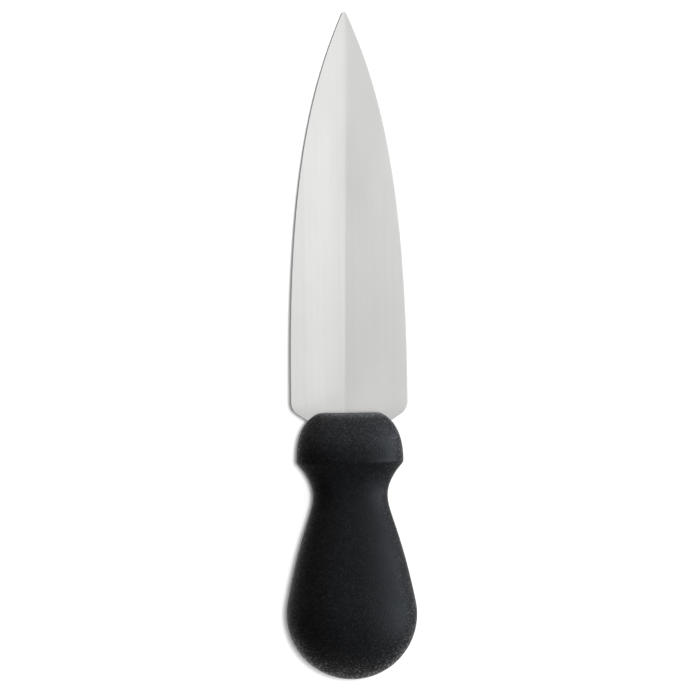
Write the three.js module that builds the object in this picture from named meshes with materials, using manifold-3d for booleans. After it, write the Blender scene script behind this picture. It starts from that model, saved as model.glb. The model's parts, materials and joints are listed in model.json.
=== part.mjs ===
// A parmesan knife: an almond-shaped blade, ground from a centre ridge to its edges, whose hidden tang is held in a
// pear-shaped plastic handle moulded around it. Millimetres, +Z up. The knife lies the way it would on a table, on its
// tip and on the bulb of its handle, with the tip towards +Y.
import * as THREE from "three";
import { mergeVertices } from "three/addons/utils/BufferGeometryUtils.js";
import Module from "manifold-3d";

// Blade: the leaf that shows, measured from the handle's flat top
const bladeLength = 140.1;
const bladeWidth = 41.1;
const widestAt = 9.6;
const bellyPull = 75;
const tipPull = 26;
const tipHalfAngle = 23.3;
const tipRadius = 1.1;
const heelCornerAt = 1.1;
const heelSlope = 33;
const heelRound = 2.7;

// Grind: thickness at the ridge, behind the cutting bevel and at the very edge
const ridgeThickness = 2.8;
const edgeThickness = 0.6;
const apexThickness = 0.2;
const bevelWidth = 0.7;
const ridgeAtHandle = -1.5;
const ridgeAtTip = 0.9;
const ridgeTipShare = 0.25;

// Tang: flat stock, hidden in the handle, with two holes that the plastic fills
const stockThickness = 3;
const tangWidth = 18;
const tangLength = 62;
const tangLap = 1;
const holeRadius = 4;
const upperHoleAt = 15;
const lowerHoleAt = 47;

// Handle: widths across the front, depths from front to back, distances down from its flat top
const handleLength = 93.15;
const topWidth = 21.8;
const shoulderWidth = 37.4;
const waistWidth = 26;
const bulbWidth = 45.5;
const topDepth = 13;
const bulbDepth = 32.5;
const ovalPower = 2.4;
const domeDrop = 4.9;
const shoulderAt = 16.6;
const lipRound = 0.8;
const undercutAt = 23.7;
const waistAt = 29;
const waistPull = 6;
const flankPull = 25.6;
const flankMeet = 11;

// The space between blade and plastic, and how finely curves are drawn
const seatGap = 0.3;
const handleSegments = 52;
const curveSteps = 9;

const radians = THREE.MathUtils.degToRad;

const wasm = await Module();
wasm.setup();

// A closed geometry as a solid that can be added to and cut.
function solid(geometry) {
  geometry.deleteAttribute("normal");
  geometry.deleteAttribute("uv");
  const merged = mergeVertices(geometry, 1e-5);
  const vertProperties = new Float32Array(merged.attributes.position.array);
  const triVerts = new Uint32Array(merged.index.array);
  return new wasm.Manifold(new wasm.Mesh({ numProp: 3, vertProperties, triVerts }));
}

// A solid back as a geometry with flat-shaded faces.
function geometryOf(body) {
  const mesh = body.getMesh();
  const geometry = new THREE.BufferGeometry();
  geometry.setAttribute("position", new THREE.BufferAttribute(new Float32Array(mesh.vertProperties), 3));
  geometry.setIndex(new THREE.BufferAttribute(new Uint32Array(mesh.triVerts), 1));
  const faceted = geometry.toNonIndexed();
  faceted.computeVertexNormals();
  return faceted;
}

// A closed skin over a row of rings with equal numbers of points, drawn in to one point at each end.
function skin(rings, first, last) {
  const count = rings[0].length;
  const points = [first, ...rings.flat(), last];
  const index = [];
  for (let i = 0; i < count; i += 1) {
    const next = (i + 1) % count;
    index.push(0, 1 + next, 1 + i);
    for (let row = 0; row + 1 < rings.length; row += 1) {
      const here = 1 + row * count;
      const there = here + count;
      index.push(here + i, here + next, there + i);
      index.push(here + next, there + next, there + i);
    }
    const end = 1 + (rings.length - 1) * count;
    index.push(end + i, end + next, points.length - 1);
  }
  const geometry = new THREE.BufferGeometry().setFromPoints(points);
  geometry.setIndex(index);
  return geometry;
}

// Half outline of the leaf as points (half width, distance from the handle's top), from where the heel
// runs into the tang, round the heel corner and up the belly to the rounded tip.
function leafOutline() {
  const half = bladeWidth / 2;
  const slope = radians(heelSlope);
  const point = radians(tipHalfAngle);
  const tipCentre = bladeLength - tipRadius;
  const meetX = tipRadius * Math.cos(point);
  const meetY = tipCentre + tipRadius * Math.sin(point);
  const rootY = heelCornerAt - (half - tangWidth / 2) * Math.tan(slope);
  const path = new THREE.Path();
  path.moveTo(tangWidth / 2, rootY);
  path.lineTo(half - heelRound * Math.cos(slope), heelCornerAt - heelRound * Math.sin(slope));
  path.quadraticCurveTo(half, heelCornerAt, half, heelCornerAt + heelRound);
  path.lineTo(half, widestAt);
  path.bezierCurveTo(
    half,
    widestAt + bellyPull,
    meetX + tipPull * Math.sin(point),
    meetY - tipPull * Math.cos(point),
    meetX,
    meetY,
  );
  path.absarc(0, tipCentre, tipRadius, point, Math.PI / 2 - 0.12, false);
  return path.getPoints(curveSteps * 2);
}

// Section of the leaf across the knife: two facets from the ridge to the bevels, above and below.
function leafSection(half, along, grow) {
  const share = along > widestAt ? half / (bladeWidth / 2) : 1;
  const ridge = (edgeThickness + (ridgeThickness - edgeThickness) * share) / 2 + grow;
  const edge = edgeThickness / 2 + grow;
  const apex = apexThickness / 2 + grow;
  const drift = ridgeAtHandle + ((ridgeAtTip - ridgeAtHandle) * along) / bladeLength;
  const ridgeX = Math.min(drift, half * ridgeTipShare);
  const inner = half + grow - Math.min(bevelWidth, half * 0.4);
  const outer = half + grow;
  const upper = [
    [outer, apex],
    [inner, edge],
    [ridgeX, ridge],
    [-inner, edge],
    [-outer, apex],
  ];
  const lower = upper.map(([x, z]) => [x, -z]).reverse();
  return [...upper, ...lower].map(([x, z]) => new THREE.Vector3(x, along, z));
}

// The ground leaf, made larger all round by grow and ending at a given distance from the handle's top.
function leaf(grow, until) {
  const outline = leafOutline().filter((point) => point.y <= until);
  const rings = outline.map((point) => leafSection(point.x, point.y, grow));
  const first = new THREE.Vector3(0, outline[0].y - grow, 0);
  const last = new THREE.Vector3(0, Math.min(until, bladeLength), 0);
  return solid(skin(rings.reverse(), last, first));
}

// The flat tang with its round end and two holes, made larger all round by grow.
function tang(grow) {
  const half = tangWidth / 2 + grow;
  const top = heelCornerAt - (bladeWidth / 2 - tangWidth / 2) * Math.tan(radians(heelSlope)) + tangLap;
  const thickness = stockThickness + 2 * grow;
  const shape = new THREE.Shape();
  shape.moveTo(half, top);
  shape.lineTo(-half, top);
  shape.lineTo(-half, half - tangLength - grow);
  shape.absarc(0, half - tangLength - grow, half, Math.PI, 2 * Math.PI, false);
  shape.closePath();
  for (const at of [upperHoleAt, lowerHoleAt]) {
    const hole = new THREE.Path();
    hole.absarc(0, -at, holeRadius - grow, 0, 2 * Math.PI, true);
    shape.holes.push(hole);
  }
  const plate = new THREE.ExtrudeGeometry(shape, {
    depth: thickness,
    bevelEnabled: false,
    curveSegments: curveSteps,
  });
  plate.translate(0, 0, -thickness / 2);
  return solid(plate);
}

// Half outline of the handle, from the centre of its flat top to the end of its round butt.
function handleProfile() {
  const top = topWidth / 2;
  const shoulder = shoulderWidth / 2;
  const waist = waistWidth / 2;
  const bulb = bulbWidth / 2;
  const bulbAt = handleLength - bulb;
  const meet = radians(flankMeet);
  const meetX = bulb * Math.cos(meet);
  const meetY = -bulbAt + bulb * Math.sin(meet);
  const fall = new THREE.Vector2(waist - shoulder, shoulderAt + lipRound - undercutAt).normalize();
  const path = new THREE.Path();
  path.moveTo(0, 0);
  path.lineTo(top, 0);
  path.quadraticCurveTo(shoulder, -domeDrop, shoulder, -shoulderAt);
  path.quadraticCurveTo(
    shoulder,
    -shoulderAt - lipRound,
    shoulder + fall.x * lipRound,
    -shoulderAt - lipRound + fall.y * lipRound,
  );
  path.quadraticCurveTo(waist, -undercutAt, waist, -waistAt);
  path.bezierCurveTo(
    waist,
    -waistAt - waistPull,
    meetX - flankPull * Math.sin(meet),
    meetY + flankPull * Math.cos(meet),
    meetX,
    meetY,
  );
  path.absarc(0, -bulbAt, bulb, meet, -Math.PI / 2, true);
  const points = path.getPoints(curveSteps);
  points[points.length - 1].x = 0;
  return points;
}

// One coordinate of a unit circle, moved outwards on to a fuller oval with flatter faces.
function fuller(unit) {
  return Math.sign(unit) * Math.abs(unit) ** (2 / ovalPower);
}

// The handle's outside: the profile turned about the knife's axis, then flattened to a full oval that grows
// rounder from the flat top to the bulb.
function handleBody() {
  const halfStep = Math.PI / handleSegments;
  const body = new THREE.LatheGeometry(handleProfile().reverse(), handleSegments, halfStep);
  const spots = body.attributes.position;
  const topShare = topDepth / topWidth;
  const bulbShare = bulbDepth / bulbWidth;
  const bulbAt = handleLength - bulbWidth / 2;
  for (let i = 0; i < spots.count; i += 1) {
    const radius = Math.hypot(spots.getX(i), spots.getZ(i));
    if (radius > 0) {
      const share = THREE.MathUtils.lerp(topShare, bulbShare, -spots.getY(i) / bulbAt);
      spots.setX(i, radius * fuller(spots.getX(i) / radius));
      spots.setZ(i, radius * share * fuller(spots.getZ(i) / radius));
    }
  }
  return solid(body);
}

const bladeBody = leaf(0, bladeLength).add(tang(0));
const pocket = leaf(seatGap, bladeLength / 2).add(tang(seatGap));
const bladeShape = geometryOf(bladeBody);
const handleShape = geometryOf(handleBody().subtract(pocket));

// Lying down: the knife tips until its point and its bulb are equally low.
function lowest(shape, angle) {
  const spots = shape.attributes.position;
  let low = Infinity;
  for (let i = 0; i < spots.count; i += 1) {
    low = Math.min(low, spots.getZ(i) * Math.cos(angle) - spots.getY(i) * Math.sin(angle));
  }
  return low;
}
let lean = 0;
for (let step = Math.PI / 8; step > 1e-7; step /= 2) {
  if (lowest(bladeShape, lean + step) > lowest(handleShape, lean + step)) {
    lean += step;
  }
}
const pieces = [bladeShape, handleShape];
const box = new THREE.Box3();
for (const piece of pieces) {
  piece.rotateX(-lean);
  piece.computeBoundingBox();
  box.union(piece.boundingBox);
}
for (const piece of pieces) {
  piece.translate(0, -(box.min.y + box.max.y) / 2, -box.min.z);
}

const steel = new THREE.MeshStandardMaterial({ color: 0xc6c9ca, metalness: 1, roughness: 0.35 });
const plastic = new THREE.MeshStandardMaterial({ color: 0x17181a, metalness: 0, roughness: 0.6 });

const blade = new THREE.Mesh(bladeShape, steel);
blade.name = "blade_with_tang";
const handle = new THREE.Mesh(handleShape, plastic);
handle.name = "moulded_handle";

const group = new THREE.Group();
group.name = "parmesan_knife";
group.add(blade, handle);
export default group;
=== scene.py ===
# %% [markdown]
# # A parmesan knife
# The knife has two pieces: a steel blade whose tang is hidden, and a black plastic handle that was
# moulded around that tang. This lesson rebuilds both as smooth surfaces from a few sizes, gives them a
# satin steel and a stippled plastic finish, and lights them on a pale floor.

import json
import math

import bpy
import numpy as np
from mathutils import Matrix, Vector


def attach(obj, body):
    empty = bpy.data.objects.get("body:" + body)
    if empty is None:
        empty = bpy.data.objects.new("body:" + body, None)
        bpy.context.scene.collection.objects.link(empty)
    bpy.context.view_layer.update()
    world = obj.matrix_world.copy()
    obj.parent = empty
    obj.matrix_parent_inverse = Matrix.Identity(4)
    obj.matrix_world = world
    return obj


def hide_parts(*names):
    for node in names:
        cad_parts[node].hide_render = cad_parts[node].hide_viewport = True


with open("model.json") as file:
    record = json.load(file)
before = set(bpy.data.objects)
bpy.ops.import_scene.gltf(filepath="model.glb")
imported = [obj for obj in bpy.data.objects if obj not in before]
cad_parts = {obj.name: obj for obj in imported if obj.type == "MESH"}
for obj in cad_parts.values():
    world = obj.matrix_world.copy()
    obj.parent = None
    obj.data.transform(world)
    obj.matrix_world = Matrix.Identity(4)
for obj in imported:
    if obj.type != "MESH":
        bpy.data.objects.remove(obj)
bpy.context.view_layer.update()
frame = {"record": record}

# %% [markdown]
# ## The knife's own axes
# The knife lies on its tip and on the bulb of its handle, so it leans a few degrees. Working in the
# table's axes would put that lean into every formula. Instead all shapes are worked out straight: x across
# the blade, y from the flat top of the handle towards the tip, z out of the blade's face, in millimetres.
# The two halves of that flat top are mounts in the record, so their middle is the origin and their axis is
# the direction of y.

# %% From knife millimetres to the frame
MM = 0.001
mounts = frame["record"]["mounts"]
SEAT = np.mean([mount["pos_m"] for mount in mounts], axis=0)
ALONG = np.array(mounts[0]["axis"]) / np.linalg.norm(mounts[0]["axis"])
ACROSS = np.array([1.0, 0.0, 0.0])
OUT = np.cross(ACROSS, ALONG)


def place(points):
    """Knife millimetres to frame metres: the seat plus each coordinate along its own axis."""
    return SEAT + MM * (points @ np.stack([ACROSS, ALONG, OUT]))


print("lean in degrees:", round(math.degrees(math.asin(-ALONG[2])), 3))

# %% [markdown]
# ## Curves and meshes
# Outlines are drawn with arcs and Bezier curves, the way a designer draws them: an end point, a pull away
# from it and a pull towards the other end. A closed body is a row of rings, drawn in to a point at each
# end. It could be built vertex by vertex, but the rings are one array, so the faces can be one array too,
# and no loop visits a vertex.


# %% Helpers for curves
def bezier(controls, steps):
    """Points of a Bezier curve: each control weighted by its Bernstein polynomial at even parameters."""
    t = np.linspace(0.0, 1.0, steps)
    degree = len(controls) - 1
    weights = [math.comb(degree, k) * t**k * (1 - t) ** (degree - k) for k in range(degree + 1)]
    return np.stack(weights, axis=1) @ np.array(controls, float)


def arc(radius, centre, first, last, steps):
    """Points of an arc about a place on the axis: the radius times the cosine and sine of even angles."""
    turn = np.linspace(first, last, steps)
    return np.stack([np.cos(turn), np.sin(turn)], axis=1) * radius + [0, centre]


def smooth(t):
    """Smooth step: 0 before 0, 1 after 1, and 3tt - 2ttt between."""
    t = np.clip(t, 0.0, 1.0)
    return t * t * (3 - 2 * t)


print("middle of an arch:", bezier([(0, 0), (1, 1), (2, 0)], 3)[1])


# %% Helpers for meshes
def closed_skin(rings, first, last):
    """A body's vertices and faces: rings (rows, count, 3) joined by quads, a fan to a point at each end."""
    rows, count = rings.shape[:2]
    vertices = np.concatenate([rings.reshape(-1, 3), [first], [last]])
    column = np.arange(count)
    beside = (column + 1) % count
    start = (np.arange(rows - 1) * count)[:, None]
    after = start + count
    quads = np.stack([start + column, start + beside, after + beside, after + column], axis=-1)
    head = np.stack([beside, column, np.full(count, rows * count)], axis=-1)
    tail = np.stack([column, beside, np.full(count, rows * count + 1)], axis=-1)
    tail[:, :2] += (rows - 1) * count
    return vertices, quads.reshape(-1, 4).tolist() + head.tolist() + tail.tolist()


def new_piece(name, vertices, faces):
    """A mesh object at the origin, shaded smooth, whose place is in its vertices."""
    mesh = bpy.data.meshes.new(name)
    mesh.from_pydata(place(vertices), [], faces)
    mesh.shade_smooth()
    mesh.validate()
    piece = bpy.data.objects.new(name, mesh)
    bpy.context.scene.collection.objects.link(piece)
    return piece


def cut(piece, tool):
    """Takes the tool's volume out of the piece; the tool is used up."""
    modifier = piece.modifiers.new("cut", "BOOLEAN")
    modifier.operation = "DIFFERENCE"
    modifier.solver = "EXACT"
    modifier.object = tool
    view = bpy.context.evaluated_depsgraph_get()
    result = bpy.data.meshes.new_from_object(piece.evaluated_get(view))
    piece.modifiers.remove(modifier)
    old = piece.data
    piece.data = result
    result.name = piece.name
    bpy.data.meshes.remove(old)
    used = tool.data
    bpy.data.objects.remove(tool)
    bpy.data.meshes.remove(used)


def crisp(piece, degrees):
    """Marks edges that turn by more than an angle as sharp, so that smooth shading stops there."""
    piece.data.set_sharp_from_angle(angle=math.radians(degrees))


print("faces on two rings of six:", len(closed_skin(np.zeros((2, 6, 3)), (0, 0, 0), (0, 0, 0))[1]))

# %% [markdown]
# ## The blade's outline
# The blade is stamped from sheet steel: a straight tang with a round end, two slanted heels, a long almond
# belly and a small round tip. A list of traced points could give that outline, but it would wobble and
# nobody could change a size in it. Lines, arcs and curves with a pull at each end need only a dozen sizes,
# and they give the half width at each station along the knife.

# %% Blade outline, millimetres
BLADE_LENGTH = 140.1
HALF_WIDTH = 20.55
WIDEST_AT = 9.6
BELLY_PULL = 75.0
TIP_PULL = 26.0
TIP_ANGLE = math.radians(23.3)
TIP_RADIUS = 1.1
TIP_POLE_ANGLE = 0.06
HEEL_AT = 1.1
HEEL_SLOPE = math.radians(33.0)
HEEL_ROUND = 2.7
TANG_HALF = 9.0
TANG_LENGTH = 62.0
TANG_POLE_ANGLE = 0.08
ROOT_AT = HEEL_AT - (HALF_WIDTH - TANG_HALF) * math.tan(HEEL_SLOPE)
QUARTER = math.pi / 2


def blade_outline():
    """Stations (half width, place along): round tang end, straight tang, heel, belly and rounded tip.
    An arc stops short of the axis by its pole angle, and the fan at the skin's end closes it."""
    round_at = TANG_HALF - TANG_LENGTH
    tang_end = arc(TANG_HALF, round_at, TANG_POLE_ANGLE - QUARTER, 0.0, steps=16)
    tang = bezier([(TANG_HALF, round_at), (TANG_HALF, ROOT_AT)], steps=30)[1:]
    corner = np.array([HALF_WIDTH, HEEL_AT])
    above = corner + [0, HEEL_ROUND]
    into = corner - HEEL_ROUND * np.array([math.cos(HEEL_SLOPE), math.sin(HEEL_SLOPE)])
    heel_line = bezier([(TANG_HALF, ROOT_AT), into], steps=20)[1:]
    heel = bezier([into, corner, above], steps=14)[1:]
    widest = np.array([HALF_WIDTH, WIDEST_AT])
    side = bezier([above, widest], steps=6)[1:]
    centre = BLADE_LENGTH - TIP_RADIUS
    meet = np.array([TIP_RADIUS * math.cos(TIP_ANGLE), centre + TIP_RADIUS * math.sin(TIP_ANGLE)])
    pull = meet + TIP_PULL * np.array([math.sin(TIP_ANGLE), -math.cos(TIP_ANGLE)])
    belly = bezier([widest, widest + [0, BELLY_PULL], pull, meet], steps=110)[1:]
    tip = arc(TIP_RADIUS, centre, TIP_ANGLE, QUARTER - TIP_POLE_ANGLE, steps=14)[1:]
    return np.concatenate([tang_end, tang, heel_line, heel, side, belly, tip])


print("blade outline:", len(blade_outline()), "stations")

# %% [markdown]
# ## The blade's grind
# Both faces are ground from a centre ridge down to a thin edge, which then gets a narrow cutting bevel. A
# flat outline with a bevel modifier would give a rim, not a grind. So the blade is one surface with a
# section drawn across it at each station. The ridge is a little askew, as ground ridges are, and it loses
# thickness and crispness towards the tip. In the tang the facets give way to flat stock.

# %% Blade section, millimetres
STOCK = 3.0
RIDGE_THICKNESS = 2.8
EDGE_THICKNESS = 0.6
APEX_THICKNESS = 0.28
BEVEL = 0.32
BEVEL_MOST = 0.4
FACET_SWELL = 0.25
FACET_DIP = 0.02
RIDGE_AT_HANDLE = -1.5
RIDGE_AT_TIP = 0.65
RIDGE_MOST = 0.25
RIDGE_SOFTNESS = 0.02
TIP_SOFTER_BY = 0.11
RUN_OUT = 2.0
FACET_COLUMNS = 27
BEVEL_COLUMNS = 4
CROWDING = 1.5


def ridge_place(half, along):
    """The ridge's x: an even drift from handle to tip, held to a share of the half width."""
    drift = RIDGE_AT_HANDLE + (RIDGE_AT_TIP - RIDGE_AT_HANDLE) * along / BLADE_LENGTH
    return np.clip(drift, -half * RIDGE_MOST, half * RIDGE_MOST)


def blade_columns(half, along):
    """The ridge's place, the bevel's inner edge and the columns from right to left across each station.
    The columns are even steps to a power, so they crowd at the ridge; the bevel keeps to a share of the
    half width where the blade is narrow."""
    ridge = ridge_place(half, along)
    inner = half - np.minimum(BEVEL, half * BEVEL_MOST)
    spread = np.linspace(0.0, 1.0, FACET_COLUMNS) ** CROWDING
    bevel = np.linspace(0.0, 1.0, BEVEL_COLUMNS)[1:]
    right = np.concatenate([ridge + (inner - ridge) * spread, inner + (half - inner) * bevel], axis=1)
    left = np.concatenate([ridge - (inner + ridge) * spread, -inner - (half - inner) * bevel], axis=1)
    return ridge, inner, np.concatenate([right[:, ::-1], left[:, 1:]], axis=1)


def swollen(t):
    """A facet's rise from edge to ridge: straight, plus a little of the arch t - tt, so it is convex."""
    return t + FACET_SWELL * (t - t * t)


def half_thickness(x, half, along, ridge, inner):
    """Half thickness across each station: the softened lesser of two facets that rise from the bevels to
    the ridge, then bevels that fall to the apex, and flat stock in the tang."""
    edge = EDGE_THICKNESS / 2
    share = np.where(along > WIDEST_AT, half / HALF_WIDTH, 1.0)
    top = edge + (RIDGE_THICKNESS - EDGE_THICKNESS) / 2 * share
    rise_left = edge + (top - edge) * swollen((x + inner) / (ridge + inner))
    rise_right = edge + (top - edge) * swollen((inner - x) / (inner - ridge))
    softness = RIDGE_SOFTNESS + TIP_SOFTER_BY * np.clip(along / BLADE_LENGTH, 0, 1) ** 2
    facets = (rise_left + rise_right - np.sqrt((rise_left - rise_right) ** 2 + softness**2)) / 2
    past = np.clip((np.abs(x) - inner) / (half - inner), 0, 1)
    bevel = edge + (APEX_THICKNESS - EDGE_THICKNESS) / 2 * past
    ground = np.where(past > 0, bevel, np.maximum(facets, edge - FACET_DIP))
    flat = smooth((ROOT_AT + RUN_OUT - along) / RUN_OUT)
    return ground + (STOCK / 2 - ground) * flat


print("facets and bevels:", 2 * (FACET_COLUMNS + BEVEL_COLUMNS) - 3, "columns across each face")

# %% [markdown]
# ## The blade and its tang holes
# Two holes in the tang let the handle's plastic flow through and lock the blade. They could be left out,
# because the handle hides them, but the handle is shaped by them too. So the surface is made by a function
# that can also make it a hair larger all round, and the same function later cuts the handle's seat.

# %% The blade with its two tang holes
HOLE_RADIUS = 4.0
HOLES_AT = (15.0, 47.0)
DRILL_REACH = 4.0
DRILL_SIDES = 64
EDGE_ONLY = 8
BLADE_CRISP_FROM = 12.0


def blade_surface(grow):
    """Blade as rings, larger all round by grow: the columns across each station at plus and minus the half
    thickness. Columns move out by grow times a high power of their share of the half width."""
    outline = blade_outline()
    half, along = outline[:, :1], outline[:, 1:]
    ridge, inner, x = blade_columns(half, along)
    z = half_thickness(x, half, along, ridge, inner) + grow
    x = x + grow * np.sign(x) * (np.abs(x) / half) ** EDGE_ONLY
    y = np.broadcast_to(along, x.shape)
    upper = np.stack([x, y, z], axis=-1)
    lower = np.stack([x, y, -z], axis=-1)[:, ::-1]
    rings = np.concatenate([upper, lower], axis=1)
    tang_pole = (0.0, -TANG_LENGTH - grow, 0.0)
    tip_pole = (0.0, BLADE_LENGTH + grow, 0.0)
    return closed_skin(rings[::-1], tip_pole, tang_pole)


def hole_drill(radius, at):
    """A round drill through the tang: a circle carried from below the blade to above it."""
    turn = np.linspace(0, 2 * math.pi, DRILL_SIDES, endpoint=False)
    circle = np.stack([radius * np.cos(turn), radius * np.sin(turn) - at, np.zeros_like(turn)], axis=-1)
    ends = np.array([[0, -at, -DRILL_REACH], [0, -at, DRILL_REACH]])
    rings = circle[None] + np.array([0, 0, 1.0]) * ends[:, None, 2:]
    return closed_skin(rings, ends[0], ends[1])


def blade_piece(name, grow):
    """The blade's surface with its two holes drilled; a grown blade has smaller holes."""
    piece = new_piece(name, *blade_surface(grow))
    for at in HOLES_AT:
        cut(piece, new_piece("drill", *hole_drill(HOLE_RADIUS - grow, at)))
    return piece


blade = blade_piece("ground_blade", 0.0)
crisp(blade, BLADE_CRISP_FROM)
print("blade:", len(blade.data.polygons), "faces")

# %% [markdown]
# ## The handle's outline
# Seen from the front the handle has a flat top, a domed shoulder that ends in a crisp lip, a finger groove,
# a long swelling flank and a half-round butt. Sculpting could give such a form, but not to a size. The same
# curves as for the blade draw half of it. Each stretch leaves in the direction in which the last one
# arrived, so nothing kinks, and even the crisp lip is a small round.

# %% Handle outline, millimetres
HANDLE_LENGTH = 93.15
TOP_HALF = 10.9
TOP_POLE_RADIUS = 0.6
TOP_EDGE = 1.3
SHOULDER_HALF = 18.7
SHOULDER_AT = 16.6
DOME_DROP = 4.9
LIP_ROUND = 0.8
UNDERCUT_AT = 23.7
WAIST_HALF = 13.0
WAIST_AT = 29.0
WAIST_PULL = 6.0
FLANK_PULL = 25.6
FLANK_MEET = math.radians(11.0)
BULB_HALF = 22.75
BULB_AT = HANDLE_LENGTH - BULB_HALF
BUTT_POLE_ANGLE = 0.03


def unit(direction):
    """A direction divided by its length."""
    return direction / np.linalg.norm(direction)


def handle_profile():
    """Half outline (radius, place along), from near the middle of the flat top to near the butt's end."""
    top_corner = np.array([TOP_HALF, 0.0])
    before = top_corner - [TOP_EDGE, 0]
    dome_pull = np.array([SHOULDER_HALF, -DOME_DROP])
    after = top_corner + TOP_EDGE * unit(dome_pull - top_corner)
    flat = bezier([(TOP_POLE_RADIUS, 0.0), before], steps=14)
    edge = bezier([before, top_corner, after], steps=7)[1:]
    shoulder = np.array([SHOULDER_HALF, -SHOULDER_AT])
    dome = bezier([after, dome_pull, shoulder], steps=40)[1:]
    lip_corner = shoulder - [0, LIP_ROUND]
    undercut = np.array([WAIST_HALF, -UNDERCUT_AT])
    under = lip_corner + LIP_ROUND * unit(undercut - lip_corner)
    lip = bezier([shoulder, lip_corner, under], steps=9)[1:]
    waist = np.array([WAIST_HALF, -WAIST_AT])
    groove = bezier([under, undercut, waist], steps=30)[1:]
    meet = np.array([BULB_HALF * math.cos(FLANK_MEET), BULB_HALF * math.sin(FLANK_MEET) - BULB_AT])
    pull = meet + FLANK_PULL * np.array([-math.sin(FLANK_MEET), math.cos(FLANK_MEET)])
    flank = bezier([waist, waist - [0, WAIST_PULL], pull, meet], steps=70)[1:]
    butt = arc(BULB_HALF, -BULB_AT, FLANK_MEET, BUTT_POLE_ANGLE - QUARTER, steps=60)[1:]
    return np.concatenate([flat, edge, dome, lip, groove, flank, butt])


print("handle outline:", len(handle_profile()), "stations")

# %% [markdown]
# ## The handle's body
# The handle was moulded in one shot around the tang, in a mould of two halves that leave a hair-thin
# parting line along the sides. Turning the outline about the axis would give a round body, which rolls in
# the hand, so it is turned on a fuller, flattened oval. The blade's space is then cut out, with a hair of
# clearance, and the pegs through the tang's holes appear by themselves.

# %% The handle, millimetres
TOP_OVAL = 13.0 / 21.8
BULB_OVAL = 32.5 / 45.5
OVAL_POWER = 2.4
HANDLE_COLUMNS = 240
SIDE_CROWDING = 0.4
PARTING_HEIGHT = 0.05
PARTING_WIDTH = 0.22
PARTING_FADE = 0.5
PARTING_FROM = 0.6
PARTING_FULL = 0.8
SEAT_GAP = 0.03
HANDLE_CRISP_FROM = 30.0


def fuller(share):
    """A unit circle's coordinate moved out on to a fuller oval: its size to the power 2 / OVAL_POWER."""
    return np.sign(share) * np.abs(share) ** (2 / OVAL_POWER)


def handle_surface():
    """Handle as rings: the outline turned about the axis on a full oval, whose depth is a share of its width
    that grows from the flat top to the bulb. Even angles less a part of their double sine crowd at the
    sides, where a bell curve of z raises the parting line."""
    profile = handle_profile()
    radius, along = profile[:, :1], profile[:, 1:]
    oval = TOP_OVAL + (BULB_OVAL - TOP_OVAL) * -along / BULB_AT
    even = np.linspace(0, 2 * math.pi, HANDLE_COLUMNS, endpoint=False)[None]
    turn = even - SIDE_CROWDING * np.sin(2 * even)
    x = radius * fuller(np.cos(turn))
    z = radius * oval * fuller(np.sin(turn))
    seam = PARTING_HEIGHT * np.exp(-((z / PARTING_WIDTH) ** 2)) * smooth((radius - TOP_HALF) / PARTING_FADE)
    beside = smooth((np.abs(x) / radius - PARTING_FROM) / (PARTING_FULL - PARTING_FROM))
    x = x + np.sign(x) * seam * beside
    rings = np.stack([x, np.broadcast_to(along, x.shape), z], axis=-1)
    return closed_skin(rings, (0, 0, 0), (0, -HANDLE_LENGTH, 0))


handle = new_piece("pear_handle", *handle_surface())
cut(handle, blade_piece("blade_space", SEAT_GAP))
crisp(handle, HANDLE_CRISP_FROM)
print("handle:", len(handle.data.polygons), "faces")

# %% [markdown]
# ## Marks that the finishes read
# A finish can treat some places differently, such as the bright cutting bevel or the rubbed lip of the
# handle. Painting such places by hand doesn't survive a change of size, so each mark is worked out from the
# place of every vertex in the knife's own axes and stored on the mesh as an attribute.


# %% Helpers for marks
def knife_points(piece):
    """The piece's vertices back in knife millimetres: each axis read off by a dot product."""
    spots = np.empty(len(piece.data.vertices) * 3)
    piece.data.vertices.foreach_get("co", spots)
    return (spots.reshape(-1, 3) - SEAT) / MM @ np.stack([ACROSS, ALONG, OUT]).T


def mark(piece, name, values):
    """Stores one number from 0 to 1 per vertex under a name."""
    held = np.clip(values, 0.0, 1.0).astype(np.float32)
    layer = piece.data.attributes.new(name, "FLOAT", "POINT")
    layer.data.foreach_set("value", held)
    print(piece.name, "mark:", name, "from", held.min().round(2), "to", held.max().round(2))


print("blade's lowest corner, knife millimetres:", knife_points(blade).min(axis=0).round(2))

# %% Where the blade is honed
BEVEL_FADE = 0.1

x, y, _ = knife_points(blade).T
outline = blade_outline()
half_here = np.interp(y, outline[:, 1], outline[:, 0])
bevel_mark = smooth((np.abs(x) - (half_here - BEVEL)) / BEVEL_FADE)
mark(blade, "bevel", np.where(y > ROOT_AT, bevel_mark, 0))

# %% [markdown]
# ## Painted reflections on the facets
# In the photograph each facet has a faint lengthwise band: the left one is lightest along its middle, and
# the right one gets darker from its edge to the ridge. These bands are painted reflections in the steel's
# colour: a painted highlight along the middle of the left facet and painted shade towards the ridge. Noise
# could give bands, but not at a chosen place, so they are curves of a vertex's way from its edge, which is
# 0, to the ridge, which is 1.

# %% Painted reflection bands along the facets
LEFT_LIGHTER_BY = 0.45
LEFT_MIDDLE = 0.5
LEFT_SPREAD = 0.22
LEFT_DARKER_BY = 0.2
LEFT_DARKER_FROM = 0.6
LEFT_DARKER_FADE = 0.4
RIGHT_AT_EDGE = 0.45
RIGHT_FALL = 0.95

# Painted highlight along the left facet's middle, painted shade towards the ridge on both facets
ridge_here = ridge_place(half_here, y)
from_left = (x + half_here) / (ridge_here + half_here)
from_right = (half_here - x) / (half_here - ridge_here)
lighter = LEFT_LIGHTER_BY * np.exp(-(((from_left - LEFT_MIDDLE) / LEFT_SPREAD) ** 2))
left_band = lighter - LEFT_DARKER_BY * smooth((from_left - LEFT_DARKER_FROM) / LEFT_DARKER_FADE)
right_band = RIGHT_AT_EDGE - RIGHT_FALL * from_right
print("share of vertices on the left facets:", np.mean(x < ridge_here).round(2))
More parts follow.
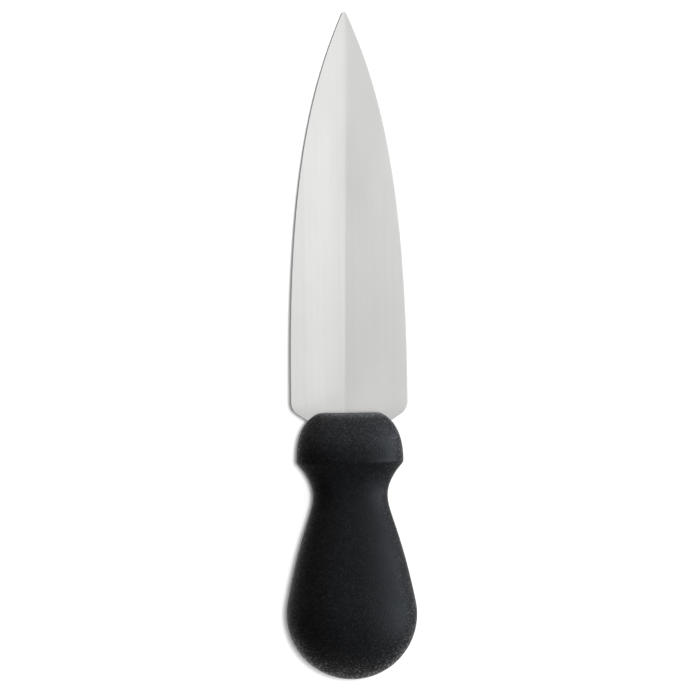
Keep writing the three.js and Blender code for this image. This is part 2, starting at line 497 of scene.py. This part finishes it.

# %% [markdown]
# ## Where the painted reflections end
# Short of the tip the bands fade out. Next to the handle the left facet gets darker and the right one gets
# lighter, so the ridge between them is fainter: a painted reflection of the dark handle in the left facet,
# and a lighter painted reflection on the right one. The bands could stop at a line, but that would look
# painted, so smooth steps along the blade do it over a centimetre or two.

# %% Painted reflection bands near the tip and the handle, millimetres along the blade
BAND_NEUTRAL = 0.5
BANDS_END = 112.0
BANDS_FADE = 20.0
HEEL_DARKER_BY = 0.95
HEEL_DARKER_REACH = 10.0
HEEL_DARKER_FROM = 0.1
HEEL_DARKER_FADE = 0.4
HEEL_LIGHTER_BY = 0.7
HEEL_LIGHTER_REACH = 24.0
HEEL_LIGHTER_MIDDLE = 0.65
HEEL_LIGHTER_SPREAD = 0.3

# Painted shade for the handle's dark reflection on the left facet, painted light on the right one
heel_darker = HEEL_DARKER_BY * smooth((HEEL_DARKER_REACH - y) / HEEL_DARKER_REACH)
left_band = left_band - heel_darker * smooth((from_left - HEEL_DARKER_FROM) / HEEL_DARKER_FADE)
heel_lighter = HEEL_LIGHTER_BY * smooth((HEEL_LIGHTER_REACH - y) / HEEL_LIGHTER_REACH)
across = np.exp(-(((from_right - HEEL_LIGHTER_MIDDLE) / HEEL_LIGHTER_SPREAD) ** 2))
right_band = right_band + heel_lighter * across
fade = smooth((BANDS_END - y) / BANDS_FADE)
mark(blade, "band", BAND_NEUTRAL + fade * np.where(x < ridge_here, left_band, right_band))

# %% [markdown]
# ## Where hands touch the handle, and where light is painted on it
# The lip, the top rim and the parting line stand out, so they are rubbed smoother. Pips are polished a
# little all over, more on the dome and most round the butt, which lies in the palm. A painted highlight runs
# round the top's edge, and the dome is painted a touch greyer than the rest as painted bounce light from the
# steel. Bell curves and smooth steps of a place give each of these a soft border; a hard limit would show
# as a line.

# %% Where the handle is rubbed and handled, and where highlight and bounce light are painted
LIP_MIDDLE = 0.6
LIP_AT = SHOULDER_AT + LIP_MIDDLE * LIP_ROUND
LIP_WIDTH = 0.7
RIM_WIDTH = 0.6
RIM_FROM = 1.0
HANDLED_ALL_OVER = 0.25
HANDLED_AT_BUTT = 0.7
HANDLED_ON_DOME = 0.2
BUTT_FROM = 72.0
BUTT_FADE = 16.0
DOME_FADE = 1.0
HIGHLIGHT_INWARDS = 0.1
HIGHLIGHT_OUTWARDS = 0.25
HIGHLIGHT_DOWN = 1.8
DOME_BOUNCE_LIGHT = 0.13
BOUNCE_FROM = 15.0
BOUNCE_FADE = 7.0

x, y, z = knife_points(handle).T
lip_mark = np.exp(-(((y + LIP_AT) / LIP_WIDTH) ** 2))
rim_mark = np.exp(-((y / RIM_WIDTH) ** 2)) * (np.abs(x) > RIM_FROM)
seam_mark = np.exp(-((z / PARTING_WIDTH) ** 2)) * (np.abs(x) > TOP_HALF)
mark(handle, "rubbed", lip_mark + rim_mark + seam_mark)
butt_mark = smooth((-y - BUTT_FROM) / BUTT_FADE)
dome_mark = smooth((y + SHOULDER_AT + DOME_FADE) / DOME_FADE)
mark(handle, "handled", HANDLED_ALL_OVER + HANDLED_AT_BUTT * butt_mark + HANDLED_ON_DOME * dome_mark)
# Painted highlight round the top's edge, plus painted bounce light on the dome, stored for the colour
ring = np.hypot(x / TOP_HALF, z / (TOP_HALF * TOP_OVAL))
fade = np.where(ring < 1, HIGHLIGHT_INWARDS, HIGHLIGHT_OUTWARDS)
edge_highlight = np.exp(-(((ring - 1.0) / fade) ** 2) - (y / HIGHLIGHT_DOWN) ** 2)
mark(handle, "worn", edge_highlight + DOME_BOUNCE_LIGHT * smooth((y + BOUNCE_FROM) / BOUNCE_FADE))

# %% [markdown]
# ## Short ways to work with nodes
# A finish is a tree of nodes, and adding, setting and linking one by hand takes several lines. A small
# class keeps the tree at hand and gives each kind of node in this lesson a call of its own. A call returns
# the output socket of its node, so calls can be put inside each other and a finish reads like a formula.


# %% A desk for node work
class Desk:
    """A node tree with calls that add a node to it and return the output socket of that node."""

    def __init__(self, tree):
        self.nodes = tree.nodes
        self.links = tree.links

    def feed(self, value, socket):
        """Links an output socket to an input, or sets a plain value on the input."""
        if isinstance(value, bpy.types.NodeSocket):
            self.links.new(value, socket)
        else:
            socket.default_value = value

    def add(self, kind, inputs, output):
        """A node of a kind: feeds its inputs by name and returns the named output."""
        node = self.nodes.new(kind)
        for name, value in inputs.items():
            self.feed(value, node.inputs[name])
        return node.outputs[output]

    def math(self, operation, first, second):
        """Two numbers joined by one operation."""
        node = self.nodes.new("ShaderNodeMath")
        node.operation = operation
        self.feed(first, node.inputs[0])
        self.feed(second, node.inputs[1])
        return node.outputs[0]

    def mix(self, factor, first, second):
        """A colour that goes from first to second as the factor goes from 0 to 1."""
        node = self.nodes.new("ShaderNodeMix")
        node.data_type = "RGBA"
        for name, value in (("Factor", factor), ("A", first), ("B", second)):
            self.feed(value, node.inputs[name])
        return node.outputs["Result"]

    def spread(self, value, low, high, new_low=0.0, new_high=1.0):
        """A number carried from one range to another, and held at the ends."""
        old = {"Value": value, "From Min": low, "From Max": high}
        return self.add("ShaderNodeMapRange", {**old, "To Min": new_low, "To Max": new_high}, "Result")

    def place(self, stretch=(1.0, 1.0, 1.0)):
        """Object coordinates, drawn out where the stretch is below 1."""
        source = self.add("ShaderNodeTexCoord", {}, "Object")
        return self.add("ShaderNodeMapping", {"Vector": source, "Scale": stretch}, "Vector")

    def mark(self, name):
        """A number that was stored on the mesh."""
        node = self.nodes.new("ShaderNodeAttribute")
        node.attribute_name = name
        return node.outputs["Fac"]

    def bump(self, height, distance, strength=1.0):
        """A normal tilted by a height, which is in units of the distance."""
        inputs = {"Height": height, "Distance": distance, "Strength": strength}
        return self.add("ShaderNodeBump", inputs, "Normal")


def finish(name):
    """A new node material: returns it with its desk and the inputs of its Principled shader."""
    material = bpy.data.materials.new(name)
    material.use_nodes = True
    return material, Desk(material.node_tree), material.node_tree.nodes["Principled BSDF"].inputs


print("node calls:", [name for name in vars(Desk) if not name.startswith("_")])

# %% [markdown]
# ## A grain that both finishes share
# Steel and plastic both vary in a random way: the steel in grinding lines and faint clouds, the plastic in
# smudges from handling. Each could have its own noise nodes, but then a change has to be made twice. A node
# group with inputs for place, size, detail and range is built once and used with different values. Noise
# seldom leaves the middle of its range, so the group spreads that middle over the range that is asked for.

# %% The grain group
NOISE_LOW = 0.3
NOISE_HIGH = 0.7
FINE_DETAIL = 3.0
COARSE_DETAIL = 2.0


def grain_group():
    """Noise at a place and size, carried from its usual middle band to the range between Low and High."""
    group = bpy.data.node_groups.new("grain", "ShaderNodeTree")
    group.interface.new_socket("Place", in_out="INPUT", socket_type="NodeSocketVector")
    for name in ("Size", "Detail", "Low", "High"):
        group.interface.new_socket(name, in_out="INPUT", socket_type="NodeSocketFloat")
    group.interface.new_socket("Value", in_out="OUTPUT", socket_type="NodeSocketFloat")
    desk = Desk(group)
    taken = group.nodes.new("NodeGroupInput").outputs
    given = group.nodes.new("NodeGroupOutput").inputs
    noise = {"Vector": taken["Place"], "Scale": taken["Size"], "Detail": taken["Detail"]}
    value = desk.add("ShaderNodeTexNoise", noise, 0)
    desk.feed(desk.spread(value, NOISE_LOW, NOISE_HIGH, taken["Low"], taken["High"]), given["Value"])
    return group


GRAIN = grain_group()


def grain(desk, where, size, detail, low, high):
    """One use of the grain group; size is the number of its waves in a metre."""
    node = desk.nodes.new("ShaderNodeGroup")
    node.node_tree = GRAIN
    values = {"Place": where, "Size": size, "Detail": detail, "Low": low, "High": high}
    for name, value in values.items():
        desk.feed(value, node.inputs[name])
    return node.outputs["Value"]


print("group:", GRAIN.name, "with", len(GRAIN.nodes), "nodes")

# %% [markdown]
# ## Satin steel
# The blade was ground and then brushed along its length, so it is bright but not a mirror: very fine lines
# run from heel to tip, and the cutting bevel, honed last, is smoother. An anisotropic shader could blur the
# reflections in one direction, but a bake loses its direction. Noise that is drawn out over 300 times
# along the blade gives lines that change the colour, roughness and normal by a little, which looks the same
# at this distance and survives a bake. Faint clouds keep the facets from looking printed, and the painted
# reflection bands lighten and darken the colour where the steel would mirror its room and the handle.

# %% Steel for the blade
STEEL_DARK = (0.718, 0.715, 0.707, 1)
STEEL_LIGHT = (0.884, 0.88, 0.869, 1)
STEEL_ROUGHNESS = 0.24
HONED_SMOOTHER_BY = 0.06
ALONG_THE_BLADE = (1.0, 0.003, 0.02)
FINE_LINES_PER_METRE = 3200.0
FINE_LINES_IN_TONE = 0.1
FINE_LINES_IN_ROUGHNESS = 0.03
BROAD_LINES_PER_METRE = 900.0
BROAD_LINES_IN_ROUGHNESS = 0.01
CLOUD_STRETCH = (1.0, 0.5, 1.0)
CLOUDS_PER_METRE = 75.0
CLOUDS_IN_TONE = 0.233
PAINTED_REFLECTIONS_IN_TONE = 0.5
LEAST_TONE = 0.083
LINE_DEPTH = 0.00002
LINE_STRENGTH = 0.02

steel, desk, inputs = finish("satin_steel")
inputs["Metallic"].default_value = 1.0
lengthwise = desk.place(ALONG_THE_BLADE)
fine_lines = grain(desk, lengthwise, FINE_LINES_PER_METRE, FINE_DETAIL, 0.0, 1.0)
more, less = BROAD_LINES_IN_ROUGHNESS, -BROAD_LINES_IN_ROUGHNESS
broad_lines = grain(desk, lengthwise, BROAD_LINES_PER_METRE, COARSE_DETAIL, less, more)
clouds = grain(desk, desk.place(CLOUD_STRETCH), CLOUDS_PER_METRE, COARSE_DETAIL, 0.0, 1.0)
lines_in_tone = desk.math("MULTIPLY", fine_lines, FINE_LINES_IN_TONE)
clouds_in_tone = desk.math("MULTIPLY", clouds, CLOUDS_IN_TONE)
# Painted reflections: the stored bands lighten and darken the steel's colour
bands = desk.math("ADD", desk.math("MULTIPLY", desk.mark("band"), PAINTED_REFLECTIONS_IN_TONE), LEAST_TONE)
tone = desk.math("ADD", desk.math("ADD", lines_in_tone, clouds_in_tone), bands)
desk.feed(desk.mix(tone, STEEL_DARK, STEEL_LIGHT), inputs["Base Color"])
lines = desk.math("ADD", desk.math("MULTIPLY", fine_lines, FINE_LINES_IN_ROUGHNESS), broad_lines)
honed = desk.math("MULTIPLY", desk.mark("bevel"), -HONED_SMOOTHER_BY)
rough = desk.math("ADD", desk.math("ADD", lines, honed), STEEL_ROUGHNESS)
desk.feed(rough, inputs["Roughness"])
desk.feed(desk.bump(fine_lines, LINE_DEPTH, LINE_STRENGTH), inputs["Normal"])
print("finish:", steel.name, "with", len(desk.nodes), "nodes")

# %% [markdown]
# ## Stippled plastic: the pips
# The handle's mould was spark-eroded, so the black plastic has a dry grip of tiny pips, under half a
# millimetre across and each of its own height. Smooth noise as a bump looks like leather, because its hills
# run together. Voronoi cells don't: each cell is one pip, its random colour gives the height, and the
# distance to its middle rounds it off. Taller pips are a touch greyer, because dust and handling reach them
# first. Where highlight and bounce light are painted, on the top's edge and the dome, the taller pips carry
# most of it.

# %% Pips of the plastic
PLASTIC_DARK = (0.0002, 0.0002, 0.0002, 1)
PLASTIC_LIGHT = (0.004, 0.0041, 0.0044, 1)
PLASTIC_PAINTED_LIGHT = (0.06, 0.06, 0.061, 1)
PIPS_PER_METRE = 2600.0
PIP_HEIGHT = 0.0002
FEW_TALL = 1.5
PAINTED_LIGHT_BETWEEN_PIPS = 0.3

plastic, desk, inputs = finish("stippled_plastic")
where = desk.place()
cells = desk.nodes.new("ShaderNodeTexVoronoi")
desk.feed(PIPS_PER_METRE, cells.inputs["Scale"])
desk.feed(where, cells.inputs["Vector"])
chance = desk.add("ShaderNodeSeparateColor", {"Color": cells.outputs["Color"]}, "Red")
dome = desk.math("SUBTRACT", 1.0, cells.outputs["Distance"])
pips = desk.math("MULTIPLY", desk.math("POWER", chance, FEW_TALL), dome)
black = desk.mix(pips, PLASTIC_DARK, PLASTIC_LIGHT)
# Painted light: the painted highlight and bounce light mixed into the colour, strongest on taller pips
worn = desk.math("MULTIPLY", desk.mark("worn"), desk.math("ADD", pips, PAINTED_LIGHT_BETWEEN_PIPS))
desk.feed(desk.mix(worn, black, PLASTIC_PAINTED_LIGHT), inputs["Base Color"])
desk.feed(desk.bump(pips, PIP_HEIGHT), inputs["Normal"])
print("finish so far:", plastic.name, "with", len(desk.nodes), "nodes")

# %% [markdown]
# ## Stippled plastic: polish and smudges
# Seen at a glancing angle a few pips glint, because only their polished tops show there and the dull ground
# between them is hidden. Raising the gloss all over would make the handle look wet. So the shader's clear
# coat is given to the tallest pips alone, by a high power of their chance, and grows as the surface turns
# away. Large smudges vary the roughness, and rubbed places are smoother.

# %% Polish and smudges of the plastic
PLASTIC_GLOSS = 0.052
PLASTIC_ROUGHNESS = 0.5
RUBBED_SMOOTHER_BY = 0.1
SMUDGES = 0.06
SMUDGES_PER_METRE = 90.0
POLISH = 8.5
POLISH_ROUGHNESS = 0.5
FEW_POLISHED = 5.0
GLANCING = 1.7

inputs["Specular IOR Level"].default_value = PLASTIC_GLOSS
inputs["Coat Roughness"].default_value = POLISH_ROUGHNESS
polished = desk.math("MULTIPLY", desk.math("POWER", chance, FEW_POLISHED), dome)
facing = desk.add("ShaderNodeLayerWeight", {}, "Facing")
glance = desk.math("POWER", facing, GLANCING)
glint = desk.math("MULTIPLY", desk.math("MULTIPLY", glance, desk.mark("handled")), POLISH)
desk.feed(desk.math("MULTIPLY", polished, glint), inputs["Coat Weight"])
smudges = grain(desk, where, SMUDGES_PER_METRE, FINE_DETAIL, 0.0, SMUDGES)
rubbed = desk.math("MULTIPLY", desk.mark("rubbed"), -RUBBED_SMOOTHER_BY)
rough = desk.math("ADD", desk.math("ADD", smudges, rubbed), PLASTIC_ROUGHNESS)
desk.feed(rough, inputs["Roughness"])
print("finish:", plastic.name, "with", len(desk.nodes), "nodes")

# %% [markdown]
# ## Into the frame
# Each piece gets its finish, rides on the knife's only body, and stands for the plain CAD solid of the same
# part, which stays in the physics model but isn't drawn. The CAD solids could be drawn themselves, but their
# facets would show in the steel.

# %% Each piece stands for its CAD node
for piece, material, node, slot in (
    (blade, steel, "blade_with_tang", "steel"),
    (handle, plastic, "moulded_handle", "plastic"),
):
    piece.data.materials.clear()
    piece.data.materials.append(material)
    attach(piece, "root")
    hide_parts(node)
    print(piece.name, "stands for", node)

# %% [markdown]
# ## The floor
# The photograph has a white ground. A backdrop of pure white would hide the shadow that shows where the
# knife lies, so the ground is a wide pale floor, matt enough that it mirrors nothing, with a light of its
# own. It lies a hair below the knife, so that the smooth bulb doesn't dip into it.

# %% Pale floor, metres
FLOOR_HALF = 3.0
FLOOR_PALENESS = 0.82
FLOOR_ROUGHNESS = 0.9
FLOOR_LOWER_BY = 0.00005

mesh = bpy.data.meshes.new("floor")
corners = np.array([[-1, -1, 0], [1, -1, 0], [1, 1, 0], [-1, 1, 0]]) * FLOOR_HALF
mesh.from_pydata(corners - [0, 0, FLOOR_LOWER_BY], [], [(0, 1, 2, 3)])
floor = bpy.data.objects.new("floor", mesh)
scene = bpy.context.scene
scene.collection.objects.link(floor)
pale, desk, inputs = finish("pale_floor")
inputs["Base Color"].default_value = (FLOOR_PALENESS, FLOOR_PALENESS, FLOOR_PALENESS, 1)
inputs["Roughness"].default_value = FLOOR_ROUGHNESS
mesh.materials.append(pale)
print("floor:", 2 * FLOOR_HALF, "metres wide")

# %% [markdown]
# ## The room that the steel reflects
# Steel shows what is around it. Seen from above, its left facet shows the room a little left of straight up
# and its right facet a little right of it, so the room is brighter there on one side than on the other, and
# the two facets differ. It is dark far to the left, which draws a thin line on the left bevel. Towards the
# handle's and the tip's end the room is darker at the horizon than above, so the facets also differ in a
# view from the side. A photograph of a studio could do this, but a colour ramp over the direction is easier
# to tune.

# %% Room light
ROOM_FROM_LEFT_TO_RIGHT = (
    (-1.0, 0.25),
    (-0.8, 0.24),
    (-0.45, 0.15),
    (-0.28, 0.6),
    (-0.16, 0.84),
    (-0.1, 0.83),
    (-0.06, 0.78),
    (0.06, 0.56),
    (0.14, 0.6),
    (0.35, 0.8),
    (1.0, 1.0),
)
ROOM_AT_HORIZON = 0.1
ROOM_RISE = 1.3
ENDS_FROM = 0.45
ENDS_TO = 0.75

scene.view_settings.view_transform = "Standard"
world = bpy.data.worlds.new("room")
world.use_nodes = True
scene.world = world
desk = Desk(world.node_tree)
split = desk.nodes.new("ShaderNodeSeparateXYZ")
desk.feed(desk.add("ShaderNodeTexCoord", {}, "Generated"), split.inputs[0])
ramp = desk.nodes.new("ShaderNodeValToRGB")
stops = ramp.color_ramp.elements
while len(stops) < len(ROOM_FROM_LEFT_TO_RIGHT):
    stops.new(1.0)
for stop, (sideways, level) in zip(stops, ROOM_FROM_LEFT_TO_RIGHT):
    stop.position = (sideways + 1) / 2
    stop.color = (level, level, level, 1)
desk.feed(desk.spread(split.outputs["X"], -1.0, 1.0), ramp.inputs["Fac"])
ends = desk.math("ADD", desk.math("MULTIPLY", split.outputs["Z"], ROOM_RISE), ROOM_AT_HORIZON)
lengthways = desk.math("ABSOLUTE", split.outputs["Y"], 0.0)
towards = desk.spread(lengthways, ENDS_FROM, ENDS_TO)
background = desk.nodes["Background"].inputs
desk.feed(desk.mix(towards, ramp.outputs["Color"], ends), background["Color"])
background["Strength"].default_value = 1.0
print("room:", len(stops), "levels from left to right")

# %% [markdown]
# ## Softboxes
# The black handle needs strong broad lights, or it is a hole in the picture; the steel would burn out in
# them. A photographer would hold up black cards. In Blender a light can be linked to the pieces that it may
# reach, so the handle, the knife as a whole and the floor each have their own. A cool softbox on the right
# and a weaker one lower down model the handle, one past each end lights its dome and its butt, and two weak
# ones above the tip make the blade lighter there. The floor's light stands a little to the right and towards
# the tip, so that a narrow shadow shows on the left and below the butt.


# %% Lights and what they reach, metres and watts
def receivers(name, *pieces):
    """A collection of the pieces that a light may reach."""
    group = bpy.data.collections.new(name)
    for piece in pieces:
        group.objects.link(piece)
    return group


KNIFE_ONLY = receivers("knife_only", blade, handle)
HANDLE_ONLY = receivers("handle_only", handle)
FLOOR_ONLY = receivers("floor_only", floor)
COOL = (0.86, 0.95, 1.08)
WHITE = (1.0, 1.0, 1.0)


def softbox(name, place_m, aim_m, size_m, watts, lit, colour):
    """A rectangular area light at a place, turned to face a point, that reaches only the lit collection."""
    light = bpy.data.lights.new(name, "AREA")
    light.shape = "RECTANGLE"
    light.size, light.size_y = size_m
    light.energy = watts
    light.color = colour
    lamp = bpy.data.objects.new(name, light)
    lamp.location = place_m
    lamp.rotation_euler = (Vector(aim_m) - Vector(place_m)).to_track_quat("-Z", "Y").to_euler()
    lamp.light_linking.receiver_collection = lit
    scene.collection.objects.link(lamp)


softbox("right_softbox", (1.04, 0.04, 0.6), (0, -0.05, 0), (0.9, 1.3), 71, HANDLE_ONLY, COOL)
softbox("low_right_softbox", (1.25, 0.04, 0.3), (0, -0.05, 0), (0.9, 0.5), 13, HANDLE_ONLY, COOL)
softbox("tip_softbox", (0.0, 1.5, 0.3), (0, 0, 0), (1.6, 0.8), 42, HANDLE_ONLY, WHITE)
softbox("butt_softbox", (0.0, -1.6, 0.32), (0, 0, 0), (1.6, 0.5), 7, HANDLE_ONLY, WHITE)
softbox("upper_left_softbox", (-0.34, 0.5, 1.0), (-0.34, 0.5, 0), (0.72, 0.9), 0.6, KNIFE_ONLY, WHITE)
softbox("upper_right_softbox", (0.38, 0.5, 1.0), (0.38, 0.5, 0), (0.72, 0.9), 0.3, KNIFE_ONLY, WHITE)
softbox("floor_light", (0.17, 0.2, 2.2), (0, 0, 0), (0.25, 0.25), 46, FLOOR_ONLY, WHITE)
print("lights:", len(bpy.data.lights))

# %% [markdown]
# ## The camera
# The photograph looks straight down on the blade's face from far away, so the knife hardly shrinks with
# distance. A long lens nearly 2 metres up does the same; a short lens close by would swell the handle. It
# looks along the blade's own normal, not along the floor's, because the knife leans, and it is rolled by
# under a degree, as the knife in the photograph is.

# %% Camera over the blade's face
CAMERA_LENS = 280.0
CAMERA_SENSOR = 36.0
CAMERA_DISTANCE = 1.903
CAMERA_REACH = 50.0
CAMERA_ROLL = math.radians(0.78)
AIM_MM = np.array([[0.56, 21.9, 0.0]])

aim = place(AIM_MM)[0]
up = ALONG * math.cos(CAMERA_ROLL) + ACROSS * math.sin(CAMERA_ROLL)
lens = bpy.data.cameras.new("camera")
lens.lens = CAMERA_LENS
lens.sensor_width = CAMERA_SENSOR
lens.clip_end = CAMERA_REACH
camera = bpy.data.objects.new("camera", lens)
turn = Matrix([np.cross(up, OUT), up, OUT]).transposed().to_4x4()
camera.matrix_world = Matrix.Translation(aim + OUT * CAMERA_DISTANCE) @ turn
scene.collection.objects.link(camera)
scene.camera = camera
print("camera at", [round(c, 3) for c in camera.matrix_world.translation])

# %% [markdown]
